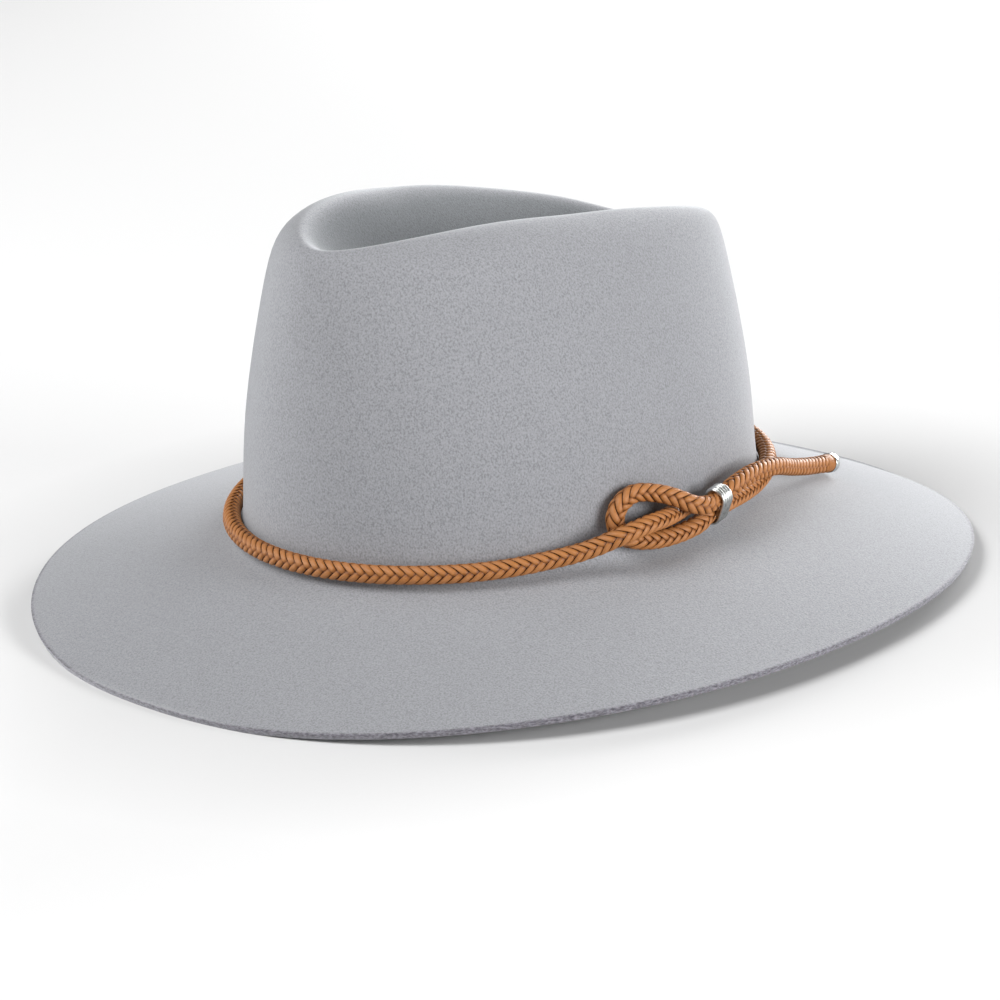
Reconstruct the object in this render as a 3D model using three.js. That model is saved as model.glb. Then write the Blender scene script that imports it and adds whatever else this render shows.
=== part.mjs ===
// A felt fedora with a wide sloped brim, a creased crown and a braided leather cord for its band.
// Millimetres, +Z up. The front faces -Y and the wearer's left side is +X. The origin lies on the
// surface that the hat rests on, under the middle of the brim's outline.
import * as THREE from "three";

// Driving sizes
const FELT = 2;
const SETTLE = 0.9; // how far the brim's lowest edge has flattened where it rests
const SEGMENTS = 64; // facets round the crown and the brim
const SHOULDER_DROP = 9.7; // from the crown's ridge down to its shoulder
const RIDGE_LEAN = 0.7; // how much higher the ridge is on the wearer's left than on the right
const RIDGE_TWIST = 1.8; // how much the ridge is lower in front and higher behind, on the left
const CORD_RADIUS = 3.3;
const CORD_SIDES = 8;
const CORD_STEP = 5.6; // length of one facet of the cord
const PINCH_RADIUS = 2.75; // the cord's radius where the wire grips it
const PINCH_REACH = 4.5; // half the length over which the cord is gripped
const TIP_RADIUS = 2.6; // the cord's radius at its end, inside the cap
const WIRE = 1.3;
const WIRE_TURNS = 5;
const WIRE_CLEARANCE = 0.55; // the strands cross the sleeve at a slight slant
const WIRE_VALLEY = 0.62; // the sleeve's wall between two turns, as a share of the wire
const WIRE_SIDES = 8; // facets round each end of the sleeve
const CAP_LENGTH = 3.2; // how far the cap reaches up the cord
const CAP_BORE = 3.3;
const CAP_WALL = 0.45;
const CAP_BOTTOM = 1;
const CAP_CORNER = 0.6;
const CAP_SIDES = 14;
const GAP = 0.3; // left between pieces that touch

// Heights that change round the hat, by the angle in degrees from the front: the underside of the
// brim's cut edge, the foot of the crown, the crown's ridge, the floor of its dent, and how much
// the ridge's crest is broadened inwards. Both sides are alike but for the ridge, as named above.
const ROUND = [
  { angle: 0, edge: 0.0, foot: 29.8, ridge: 140.1, floor: 108, crest: 0 },
  { angle: 30, edge: 3.1, foot: 30.2, ridge: 142.9, floor: 108, crest: 0 },
  { angle: 60, edge: 7.1, foot: 31.2, ridge: 145.0, floor: 107, crest: 3.2 },
  { angle: 90, edge: 7.4, foot: 32.3, ridge: 141.0, floor: 106, crest: 0 },
  { angle: 120, edge: 5.5, foot: 32.8, ridge: 132.0, floor: 104, crest: 0 },
  { angle: 150, edge: 2.2, foot: 33.0, ridge: 123.3, floor: 101, crest: 0 },
  { angle: 180, edge: 0.0, foot: 33.0, ridge: 117.2, floor: 99, crest: 0 },
];

// Plans of the main ovals: reach to the front, back and sides, fullness of the front and back
// halves (2 is an ellipse, more is squarer), and the narrowing towards the front.
const PLAN = {
  edge: { front: 177.8, back: 177.8, side: 162.2, fullFront: 2.16, fullBack: 2.16, taper: 0 },
  foot: { front: 103.5, back: 101.5, side: 85.5, fullFront: 2.06, fullBack: 2.06, taper: 0 },
  shoulder: { front: 93.9, back: 100.3, side: 59.3, fullFront: 1.97, fullBack: 2.25, taper: 0.04 },
  ridge: { front: 87.7, back: 89.1, side: 45.6, fullFront: 1.9, fullBack: 2.73, taper: 0.19 },
  slope: { front: 70, back: 76, side: 31, fullFront: 1.9, fullBack: 2.6, taper: 0.14 },
  hollow: { front: 52, back: 58, side: 21, fullFront: 2, fullBack: 2.3, taper: 0.1 },
  floor: { front: 28, back: 32, side: 11, fullFront: 2, fullBack: 2, taper: 0 },
};

// Rows of the felt's upper surface, from the brim's edge to the middle of the dent. A row lies
// between two plans, at a share of the way, moved out by grow. Its height is shared between two
// of the heights above in the same manner, then raised by lift. Facets is how many the surface
// has before the next row.
const ROWS = [
  { from: "edge", to: "foot", share: 0, low: "edge", high: "foot", rise: 0, lift: 1.9, facets: 2 },
  { from: "edge", to: "foot", share: 0.022, low: "edge", high: "foot", rise: 0.022, lift: 1.8, facets: 1 },
  { from: "edge", to: "foot", share: 0.25, low: "edge", high: "foot", rise: 0.25, lift: 0.9, facets: 1 },
  { from: "edge", to: "foot", share: 0.5, low: "edge", high: "foot", rise: 0.5, lift: -0.1, facets: 1 },
  { from: "edge", to: "foot", share: 0.75, low: "edge", high: "foot", rise: 0.75, lift: -1, facets: 1 },
  { from: "edge", to: "foot", share: 0.92, low: "edge", high: "foot", rise: 0.92, lift: -1.7, facets: 1 },
  { from: "foot", to: "foot", share: 0, grow: 1.6, low: "foot", high: "foot", rise: 0, lift: -1.2, facets: 2 },
  { from: "foot", to: "foot", share: 0, low: "foot", high: "foot", rise: 0, lift: 2, facets: 1 },
  { from: "foot", to: "foot", share: 0, grow: -0.8, low: "foot", high: "foot", rise: 0, lift: 8, facets: 1 },
  { from: "foot", to: "shoulder", share: 0.146, low: "foot", high: "shoulder", rise: 0.3, lift: 4.2, facets: 1 },
  { from: "foot", to: "shoulder", share: 0.384, low: "foot", high: "shoulder", rise: 0.55, lift: 2.7, facets: 1 },
  { from: "foot", to: "shoulder", share: 0.7, low: "foot", high: "shoulder", rise: 0.8, lift: 1.2, facets: 2 },
  { from: "shoulder", to: "ridge", share: 0, low: "shoulder", high: "ridge", rise: 0, lift: 0, facets: 2 },
  { from: "shoulder", to: "ridge", share: 0.42, low: "shoulder", high: "ridge", rise: 0.62, lift: 0, facets: 2 },
  { from: "shoulder", to: "ridge", share: 0.85, low: "shoulder", high: "ridge", rise: 0.95, lift: 0, facets: 2 },
  { from: "ridge", to: "slope", share: 0.12, crest: 1, low: "ridge", high: "floor", rise: 0, lift: 0.2, facets: 1 },
  { from: "ridge", to: "slope", share: 0.42, crest: 1, low: "ridge", high: "floor", rise: 0.1, lift: 0, facets: 2 },
  { from: "ridge", to: "slope", share: 1, low: "ridge", high: "floor", rise: 0.4, lift: 0, facets: 1 },
  { from: "hollow", to: "floor", share: 0, low: "ridge", high: "floor", rise: 0.78, lift: 0, facets: 2 },
  { from: "hollow", to: "floor", share: 1, low: "ridge", high: "floor", rise: 0.97, lift: 0, facets: 2 },
];
const DENT_MIDDLE = new THREE.Vector3(0, 2, 105);

// The cord's route, from the silver cap on its tail through the wire, round the loop, back
// through the wire, behind the crown and forward to where its other end is tucked under the loop.
const TAIL_AND_LOOP = [
  { x: 64.9, y: 110.4, z: 25.6 },
  { x: 69.8, y: 93.5, z: 29.6 },
  { x: 76.0, y: 75.0, z: 35.0 },
  { x: 84.0, y: 54.4, z: 41.9 },
  { x: 89.2, y: 35.5, z: 45.0 },
  { x: 92.4, y: 21.5, z: 44.7 },
  { x: 93.6, y: 12.0, z: 43.2 },
  { x: 95.6, y: 3.5, z: 42.9 },
  { x: 95.5, y: -3.6, z: 45.0 },
  { x: 92.2, y: -10.4, z: 48.9 },
  { x: 88.0, y: -17.2, z: 51.4 },
  { x: 85.4, y: -24.0, z: 52.0 },
  { x: 84.3, y: -30.0, z: 48.7 },
  { x: 84.6, y: -32.2, z: 43.2 },
  { x: 86.7, y: -29.2, z: 38.0 },
  { x: 89.7, y: -20.5, z: 35.2 },
  { x: 91.7, y: -9.5, z: 34.6 },
  { x: 91.9, y: 2.0, z: 35.3 },
  { x: 91.2, y: 12.0, z: 37.6 },
  { x: 88.6, y: 21.8, z: 37.6 },
  { x: 85.0, y: 34.2, z: 36.7 },
  { x: 80.5, y: 47.3, z: 36.2 },
  { x: 74.9, y: 59.3, z: 36.4 },
];
const BAND_END = [
  { x: 79.5, y: -52.2, z: 36.0 },
  { x: 85.2, y: -43.4, z: 38.0 },
  { x: 91.2, y: -35.4, z: 41.4 },
  { x: 93.2, y: -25.4, z: 42.8 },
  { x: 91.5, y: -14.0, z: 42.0 },
  { x: 89.0, y: -5.6, z: 41.4 },
  { x: 88.0, y: 0.6, z: 41.8 },
];
const WIRE_STATION = [6, 18]; // the two route points that lie inside the wire
const BAND_ANGLES = { first: 137, last: 407, step: 15 }; // degrees from the front, round the back
const BAND_OFFSET = 3.65; // from the crown's foot out to the cord's middle
const BAND_HEIGHT = 3.35; // from the crown's foot up to the cord's middle

// A column of the table above at any angle, by the cosine series that passes through its rows.
// The ridge, and the shoulder with it, leans and twists a little, as a crease made by hand does.
function around(column, angle) {
  const last = ROUND.length - 1;
  let sum = 0;
  for (let wave = 0; wave <= last; wave++) {
    let weight = 0;
    ROUND.forEach((row, i) => {
      const half = i === 0 || i === last ? 0.5 : 1;
      weight += half * heightAt(row, column) * Math.cos((Math.PI * wave * i) / last);
    });
    const half = wave === 0 || wave === last ? 0.5 : 1;
    sum += ((2 * half) / last) * weight * Math.cos(wave * angle);
  }
  if (column !== "ridge" && column !== "shoulder") return sum;
  return sum + RIDGE_LEAN * Math.sin(angle) - RIDGE_TWIST * Math.sin(2 * angle);
}

// A named height of one table row. The shoulder follows the ridge.
function heightAt(row, column) {
  return column === "shoulder" ? row.ridge - SHOULDER_DROP : row[column];
}

function mixPlans(a, b, share) {
  const mixed = {};
  for (const key of Object.keys(a)) mixed[key] = THREE.MathUtils.lerp(a[key], b[key], share);
  return mixed;
}

// A point of a plan at an angle from the front, at a height.
function onPlan(plan, angle, height, grow = 0) {
  const c = Math.cos(angle);
  const s = Math.sin(angle);
  const full = (plan.fullFront + plan.fullBack) / 2 + ((plan.fullFront - plan.fullBack) / 2) * c;
  const length = (plan.front + plan.back) / 2 + ((plan.front - plan.back) / 2) * c + grow;
  const width = (plan.side + grow) * (1 - plan.taper * c);
  const x = width * Math.sign(s) * Math.abs(s) ** (2 / full);
  const y = -length * Math.sign(c) * Math.abs(c) ** (2 / full);
  return new THREE.Vector3(x, y, height);
}

// One row's point at an angle.
function rowPoint(row, angle) {
  const plan = mixPlans(PLAN[row.from], PLAN[row.to], row.share);
  const low = around(row.low, angle);
  const high = around(row.high, angle);
  const height = THREE.MathUtils.lerp(low, high, row.rise) + row.lift;
  const point = onPlan(plan, angle, height, row.grow ?? 0);
  const inwards = (row.crest ?? 0) * around("crest", angle);
  const reach = Math.hypot(point.x, point.y);
  point.x *= 1 - inwards / reach;
  point.y *= 1 - inwards / reach;
  return point;
}

// The felt's upper surface along one angle: a cubic B-spline guided by the rows.
function feltLine(angle) {
  const guide = ROWS.map((row) => rowPoint(row, angle));
  guide.push(DENT_MIDDLE.clone());
  const beyond = (end, inner) => end.clone().multiplyScalar(2).sub(inner);
  guide.unshift(beyond(guide[0], guide[1]));
  guide.push(beyond(guide.at(-1), guide.at(-2)));
  const line = [];
  ROWS.forEach((row, i) => {
    for (let k = 0; k < row.facets; k++) {
      line.push(splinePoint(guide.slice(i, i + 4), k / row.facets));
    }
  });
  line.push(DENT_MIDDLE.clone());
  return line;
}

function splinePoint(guide, u) {
  const weights = [
    (1 - u) ** 3 / 6,
    (3 * u ** 3 - 6 * u ** 2 + 4) / 6,
    (-3 * u ** 3 + 3 * u ** 2 + 3 * u + 1) / 6,
    u ** 3 / 6,
  ];
  const point = new THREE.Vector3();
  guide.forEach((g, i) => point.addScaledVector(g, weights[i]));
  return point;
}

// The felt: its upper surface, the same surface one thickness below, and the cut edge between.
// The whole hat sits lower by the settle, except where its underside would sink into what it
// rests on: there the felt gives way, at its full thickness.
function feltGeometry() {
  const lines = [];
  for (let i = 0; i < SEGMENTS; i++) lines.push(feltLine((2 * Math.PI * i) / SEGMENTS));
  const rows = lines[0].length;
  const outside = (i, j) => lines[(i + SEGMENTS) % SEGMENTS][Math.min(Math.max(j, 0), rows - 1)];
  const inside = (i, j) => {
    if (j === rows - 1) return outside(i, j).clone().add(new THREE.Vector3(0, 0, -FELT));
    const across = outside(i, j + 1).clone().sub(outside(i, j - 1));
    const along = outside(i + 1, j).clone().sub(outside(i - 1, j));
    const normal = along.cross(across).normalize();
    return outside(i, j).clone().addScaledVector(normal, -FELT);
  };
  const settled = (point, i, j) => {
    const drop = Math.min(SETTLE, inside(i, j).z);
    return new THREE.Vector3(point.x, point.y, point.z - drop);
  };
  const upper = (i, j) => settled(outside(i, j), i, j);
  const lower = (i, j) => settled(inside(i, j), i, j);
  const faces = [];
  const quad = (a, b, c, d) => faces.push(a, b, c, a, c, d);
  for (let i = 0; i < SEGMENTS; i++) {
    for (let j = 0; j < rows - 2; j++) {
      quad(upper(i, j), upper(i + 1, j), upper(i + 1, j + 1), upper(i, j + 1));
      quad(lower(i, j), lower(i, j + 1), lower(i + 1, j + 1), lower(i + 1, j));
    }
    faces.push(upper(i, rows - 2), upper(i + 1, rows - 2), upper(i, rows - 1));
    faces.push(lower(i, rows - 2), lower(0, rows - 1), lower(i + 1, rows - 2));
    quad(upper(i, 0), lower(i, 0), lower(i + 1, 0), upper(i + 1, 0));
  }
  return new THREE.BufferGeometry().setFromPoints(faces);
}

// The cord's middle line as a smooth curve.
function cordCurve() {
  const points = TAIL_AND_LOOP.map((p) => new THREE.Vector3(p.x, p.y, p.z));
  const { first, last, step } = BAND_ANGLES;
  for (let degrees = first; degrees <= last; degrees += step) {
    const angle = THREE.MathUtils.degToRad(degrees);
    const height = around("foot", angle) + BAND_HEIGHT;
    points.push(onPlan(PLAN.foot, angle, height, BAND_OFFSET));
  }
  for (const p of BAND_END) points.push(new THREE.Vector3(p.x, p.y, p.z));
  points.forEach((p) => (p.z -= SETTLE));
  return new THREE.CatmullRomCurve3(points, false, "centripetal");
}

// The places where the wire holds the cord, and the direction of the cord there.
function wireFrame() {
  const points = cordCurve().points;
  const held = WIRE_STATION.map((i) => points[i]);
  const onward = points[WIRE_STATION[0] - 1].clone().sub(points[WIRE_STATION[0] + 1]);
  const back = points[WIRE_STATION[1] + 1].clone().sub(points[WIRE_STATION[1] - 1]);
  const axis = onward.normalize().add(back.normalize()).normalize();
  const middle = held[0].clone().add(held[1]).multiplyScalar(0.5);
  const between = held[0].clone().sub(held[1]);
  between.addScaledVector(axis, -between.dot(axis));
  return { middle, axis, held, half: between.length() / 2, across: between.normalize() };
}

// A closed tube along a curve with a radius that may change, its ends flat.
function tubeGeometry(curve, steps, sides, radiusAt) {
  const frames = curve.computeFrenetFrames(steps, false);
  const rings = [];
  for (let i = 0; i <= steps; i++) {
    const middle = curve.getPointAt(i / steps);
    const ring = [];
    for (let k = 0; k < sides; k++) {
      const turn = (2 * Math.PI * k) / sides;
      const out = frames.normals[i].clone().multiplyScalar(Math.cos(turn));
      out.addScaledVector(frames.binormals[i], Math.sin(turn));
      ring.push(middle.clone().addScaledVector(out, radiusAt(middle)));
    }
    rings.push({ middle, ring });
  }
  const faces = [];
  for (let i = 0; i < steps; i++) {
    for (let k = 0; k < sides; k++) {
      const n = (k + 1) % sides;
      const [a, b] = [rings[i].ring, rings[i + 1].ring];
      faces.push(a[k], a[n], b[n], a[k], b[n], b[k]);
    }
  }
  const [start, end] = [rings[0], rings[steps]];
  for (let k = 0; k < sides; k++) {
    const n = (k + 1) % sides;
    faces.push(start.middle, start.ring[n], start.ring[k]);
    faces.push(end.middle, end.ring[k], end.ring[n]);
  }
  return new THREE.BufferGeometry().setFromPoints(faces);
}

function cordGeometry() {
  const curve = cordCurve();
  const { held } = wireFrame();
  const tip = curve.getPointAt(0);
  const radiusAt = (point) => {
    const reach = Math.min(...held.map((h) => h.distanceTo(point)));
    const free = THREE.MathUtils.smoothstep(reach, PINCH_REACH, PINCH_REACH * 2);
    const gripped = THREE.MathUtils.lerp(PINCH_RADIUS, CORD_RADIUS, free);
    const beyond = Math.min(tip.distanceTo(point) / CORD_STEP, 1);
    return Math.min(gripped, THREE.MathUtils.lerp(TIP_RADIUS, CORD_RADIUS, beyond));
  };
  return tubeGeometry(curve, Math.round(curve.getLength() / CORD_STEP), CORD_SIDES, radiusAt);
}

// An outline of two half circles joined by straight sides, as points.
function roundEnded(half, radius, sides) {
  const points = [];
  for (const end of [1, -1]) {
    for (let k = 0; k <= sides; k++) {
      const turn = (Math.PI * k) / sides - Math.PI / 2;
      points.push(new THREE.Vector2(end * (half + radius * Math.cos(turn)), end * radius * Math.sin(turn)));
    }
  }
  return points;
}

// The wire's turns as one ribbed sleeve round both strands of the cord.
function wireGeometry(half) {
  const inner = PINCH_RADIUS + WIRE_CLEARANCE;
  const profile = [];
  for (let turn = 0; turn < WIRE_TURNS; turn++) {
    profile.push({ along: turn * WIRE, out: inner + WIRE * WIRE_VALLEY });
    profile.push({ along: (turn + 0.5) * WIRE, out: inner + WIRE });
  }
  const length = WIRE_TURNS * WIRE;
  profile.push({ along: length, out: inner + WIRE * WIRE_VALLEY });
  profile.push({ along: length, out: inner });
  profile.push({ along: 0, out: inner });
  const ring = ({ along, out }) =>
    roundEnded(half, out, WIRE_SIDES).map((p) => new THREE.Vector3(p.x, p.y, along - length / 2));
  const rings = profile.map(ring);
  const faces = [];
  rings.forEach((a, i) => {
    const b = rings[(i + 1) % rings.length];
    for (let k = 0; k < a.length; k++) {
      const n = (k + 1) % a.length;
      faces.push(a[k], a[n], b[n], a[k], b[n], b[k]);
    }
  });
  return new THREE.BufferGeometry().setFromPoints(faces);
}

// The cap on the tail's end: a short cup with a bevelled bottom, turned about the cord.
function capGeometry() {
  const bottom = -GAP - CAP_BOTTOM;
  const outer = CAP_BORE + CAP_WALL;
  const profile = [
    [0, bottom],
    [outer - CAP_CORNER, bottom],
    [outer, bottom + CAP_CORNER],
    [outer, CAP_LENGTH],
    [CAP_BORE, CAP_LENGTH],
    [CAP_BORE, -GAP],
    [0, -GAP],
  ];
  const points = profile.map(([radius, height]) => new THREE.Vector2(radius, height));
  return new THREE.LatheGeometry(points, CAP_SIDES);
}

function namedMesh(name, geometry, material) {
  const mesh = new THREE.Mesh(geometry, new THREE.MeshStandardMaterial(material));
  mesh.name = name;
  return mesh;
}

const hat = new THREE.Group();

hat.add(namedMesh("felt_body", feltGeometry(), { color: 0xa6a7ad, roughness: 0.95, metalness: 0 }));

hat.add(namedMesh("band_cord", cordGeometry(), { color: 0xb87a4c, roughness: 0.55, metalness: 0 }));

const grip = wireFrame();
const wire = namedMesh("wire_wrap", wireGeometry(grip.half), { color: 0xc4c8c8, roughness: 0.3, metalness: 1 });
const side = grip.axis.clone().cross(grip.across);
wire.setRotationFromMatrix(new THREE.Matrix4().makeBasis(grip.across, side, grip.axis));
wire.position.copy(grip.middle);
hat.add(wire);

const cap = namedMesh("tip_cap", capGeometry(), { color: 0xd0d2d2, roughness: 0.2, metalness: 1 });
const tail = cordCurve();
cap.quaternion.setFromUnitVectors(new THREE.Vector3(0, 1, 0), tail.getTangentAt(0));
cap.position.copy(tail.getPointAt(0));
hat.add(cap);

export default hat;
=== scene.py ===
"""A felt fedora with a wide sloped brim, a creased crown and a braided leather cord for its band.

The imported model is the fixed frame. The felt, the braid, the wire and the cap are made round it from
the same named sizes, which are in millimetres here and become metres as each mesh is made.
"""
import logging
import math
from dataclasses import dataclass
from enum import Enum

import bmesh
import bpy
import numpy as np
from mathutils import Matrix, Vector


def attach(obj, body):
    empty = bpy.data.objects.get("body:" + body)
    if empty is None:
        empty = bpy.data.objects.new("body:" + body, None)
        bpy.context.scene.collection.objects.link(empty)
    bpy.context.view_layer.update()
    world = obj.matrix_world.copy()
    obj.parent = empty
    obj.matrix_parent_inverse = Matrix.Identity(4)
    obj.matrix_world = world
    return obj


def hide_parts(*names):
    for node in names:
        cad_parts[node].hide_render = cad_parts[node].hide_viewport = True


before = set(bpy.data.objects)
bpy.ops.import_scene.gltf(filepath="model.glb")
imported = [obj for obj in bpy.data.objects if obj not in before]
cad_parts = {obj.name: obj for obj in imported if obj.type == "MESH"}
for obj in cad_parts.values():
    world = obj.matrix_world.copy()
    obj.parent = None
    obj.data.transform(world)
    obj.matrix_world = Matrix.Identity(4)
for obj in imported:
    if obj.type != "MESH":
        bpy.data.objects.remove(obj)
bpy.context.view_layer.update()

LOG = logging.getLogger("fedora")
MM = 0.001
BODY = "root"
SETTLE = 0.9  # how far the hat sinks until its edge is flattened where it rests
Setting = float | str | bool | tuple | list
Plug = "Link | float | tuple"


class Lay(Enum):
    """The way in which a strand winds round the cord."""

    LEFT = -1
    RIGHT = 1


class Part(Enum):
    """The material slots, by name."""

    FELT = "felt"
    LEATHER = "leather"
    WIRE = "wire"
    CAP = "cap"


class Link:
    """One output of a shader node, which Python's operators turn into further Math nodes."""

    def __init__(self, sheet: "Sheet", socket: bpy.types.NodeSocket) -> None:
        """Holds the socket and the sheet of nodes that it is on."""
        self.sheet = sheet
        self.socket = socket

    def _math(self, operation: str, first: Plug, second: Plug) -> "Link":
        """Adds one Math node.

        Args:
            operation: The node's operation.
            first: Its first value.
            second: Its second value.

        Returns:
            The node's result.
        """
        return self.sheet.node("ShaderNodeMath", {"operation": operation}, {0: first, 1: second})

    def __add__(self, other: Plug) -> "Link":
        """Returns self + other."""
        return self._math("ADD", self, other)

    def __radd__(self, other: Plug) -> "Link":
        """Returns other + self."""
        return self._math("ADD", other, self)

    def __sub__(self, other: Plug) -> "Link":
        """Returns self - other."""
        return self._math("SUBTRACT", self, other)

    def __rsub__(self, other: Plug) -> "Link":
        """Returns other - self."""
        return self._math("SUBTRACT", other, self)

    def __mul__(self, other: Plug) -> "Link":
        """Returns self * other."""
        return self._math("MULTIPLY", self, other)

    def __rmul__(self, other: Plug) -> "Link":
        """Returns other * self."""
        return self._math("MULTIPLY", other, self)

    def __pow__(self, other: Plug) -> "Link":
        """Returns self to the power of other."""
        return self._math("POWER", self, other)


class Sheet:
    """The node sheet of one material."""

    def __init__(self, name: str) -> None:
        """Starts an empty material of this name."""
        self.material = bpy.data.materials.new(name)
        self.material.use_nodes = True
        self.nodes = self.material.node_tree.nodes
        self.nodes.clear()

    def node(self, kind: str, settings: dict[str, Setting], sockets: dict[int | str, Plug],
             output: int | str = 0) -> Link | None:
        """Adds one node, with its settings first and then its sockets.

        Args:
            kind: The node's type.
            settings: Its properties. A ramp's stops are given as pairs of place and colour.
            sockets: A value or a link for each socket, by number or name.
            output: The output that is wanted.

        Returns:
            That output as a link, or nothing where the node has no output.
        """
        node = self.nodes.new(kind)
        for key, value in settings.items():
            if key == "stops":
                self._set_stops(node.color_ramp, value)
            else:
                setattr(node, key, value)
        for key, value in sockets.items():
            socket = node.inputs[key]
            if isinstance(value, Link):
                self.material.node_tree.links.new(value.socket, socket)
            elif socket.type == "RGBA":
                socket.default_value = (*value, 1.0)
            else:
                socket.default_value = value
        return Link(self, node.outputs[output]) if node.outputs else None

    def _set_stops(self, ramp: bpy.types.ColorRamp, stops: list[tuple[float, tuple]]) -> None:
        """Sets a ramp's stops from pairs of place and colour."""
        while len(ramp.elements) < len(stops):
            ramp.elements.new(1.0)
        for element, (place, colour) in zip(ramp.elements, stops):
            element.position = place
            element.color = (*colour, 1.0)

    def place(self) -> Link:
        """Returns the place on the object, in metres."""
        return self.node("ShaderNodeTexCoord", {}, {}, "Object")

    def stored(self, name: str) -> Link:
        """Returns a number that is stored with the mesh."""
        return self.node("ShaderNodeAttribute", {"attribute_name": name}, {}, "Fac")

    def noise(self, size: float, detail: float = 2.0, stretch: tuple = (1.0, 1.0, 1.0)) -> Link:
        """A noise pattern.

        Args:
            size: The size of its features, in millimetres.
            detail: How many finer layers it has.
            stretch: The scale along each axis.

        Returns:
            The noise, from 0 to 1.
        """
        where = self.node("ShaderNodeMapping", {}, {"Vector": self.place(), "Scale": stretch})
        values = {"Vector": where, "Scale": 1 / (size * MM), "Detail": detail, "Roughness": 0.55}
        return self.node("ShaderNodeTexNoise", {}, values)

    def ramp(self, value: Link, stops: list[tuple[float, tuple]]) -> Link:
        """Returns the colour at a value between stops."""
        return self.node("ShaderNodeValToRGB", {"stops": stops}, {0: value})

    def mix(self, share: Plug, first: Plug, second: Plug, blend: str = "MIX") -> Link:
        """Mixes two colours.

        Args:
            share: How much of the second colour there is.
            first: The first colour.
            second: The second colour.
            blend: The way in which they blend.

        Returns:
            The mixed colour.
        """
        settings = {"data_type": "RGBA", "blend_type": blend, "clamp_factor": True}
        return self.node("ShaderNodeMix", settings, {0: share, 6: first, 7: second}, 2)

    def bump(self, height: Link, depth: float, coarser: Link | None = None) -> Link:
        """Bends the normal by a height.

        Args:
            height: The height, from 0 to 1.
            depth: Its full depth, in millimetres.
            coarser: A normal that is bent already, if any.

        Returns:
            The bent normal.
        """
        sockets = {"Height": height, "Distance": depth * MM}
        if coarser:
            sockets["Normal"] = coarser
        return self.node("ShaderNodeBump", {}, sockets)

    def surface(self, sockets: dict[str, Plug]) -> bpy.types.Material:
        """Ends the sheet with a Principled surface.

        Args:
            sockets: A value or a link for each of its sockets.

        Returns:
            The finished material.
        """
        shader = self.node("ShaderNodeBsdfPrincipled", {}, sockets)
        self.node("ShaderNodeOutputMaterial", {}, {"Surface": shader})
        return self.material


@dataclass(frozen=True)
class FeltFinish:
    """Grey fur felt: a short brushed nap, a raw cut edge that shows the fibres end on, and painted shade
    in the dent.
    """

    face: tuple = (0.285, 0.289, 0.307)
    pale: tuple = (0.318, 0.322, 0.341)
    dark: tuple = (0.252, 0.255, 0.272)
    edge: tuple = (0.062, 0.056, 0.068)
    edge_light: tuple = (0.225, 0.215, 0.245)
    dent_shade: tuple = (0.60, 0.63, 0.625)  # painted shade: the share of each colour that the dent keeps
    specks: tuple = ((0.34, 0.62), (0.5, 0.86), (0.66, 1.0))  # fibre noise, brightness
    evenness: float = 0.55
    mottle_size: float = 30.0
    mottle_share: float = 0.6
    nap_size: float = 0.8
    nap_depth: float = 0.12
    fibre_size: float = 0.6
    fibre_depth: float = 0.08
    layer_size: float = 0.8
    sheen: float = 0.5

    def material(self) -> bpy.types.Material:
        """Returns the felt's material."""
        sheet = Sheet("felt")
        mottle = sheet.noise(self.mottle_size, 3.0)
        nap = sheet.noise(self.nap_size, 4.0)
        fibre = sheet.noise(self.fibre_size, 3.0, (1.0, 1.0, 0.8))
        layered = sheet.noise(self.layer_size, 3.0, (0.6, 0.6, 1.4))
        cut = sheet.stored("cut")
        cloud = mottle * self.mottle_share + nap * (1 - self.mottle_share)
        colour = sheet.mix(self.evenness, sheet.mix(cloud, self.dark, self.pale), self.face)
        speck = sheet.ramp(fibre, [(place, (bright,) * 3) for place, bright in self.specks])
        colour = sheet.mix(1.0, colour, speck, "MULTIPLY")
        # Painted shade: the felt in the dent is coloured darker than the lights alone make it.
        dent_shaded = sheet.mix(1.0, colour, self.dent_shade, "MULTIPLY")
        colour = sheet.mix(sheet.stored("dent"), colour, dent_shaded)
        raw = sheet.ramp(layered, [(0.36, self.edge), (0.64, self.edge_light)])
        colour = sheet.mix(cut, colour, raw)
        normal = sheet.bump(fibre + layered * cut, self.fibre_depth, sheet.bump(nap, self.nap_depth))
        return sheet.surface({"Base Color": colour, "Roughness": 0.95, "Specular IOR Level": 0.2,
                              "Sheen Weight": self.sheen, "Sheen Roughness": 0.55,
                              "Sheen Tint": (0.95, 0.97, 1.0), "Normal": normal})


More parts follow.
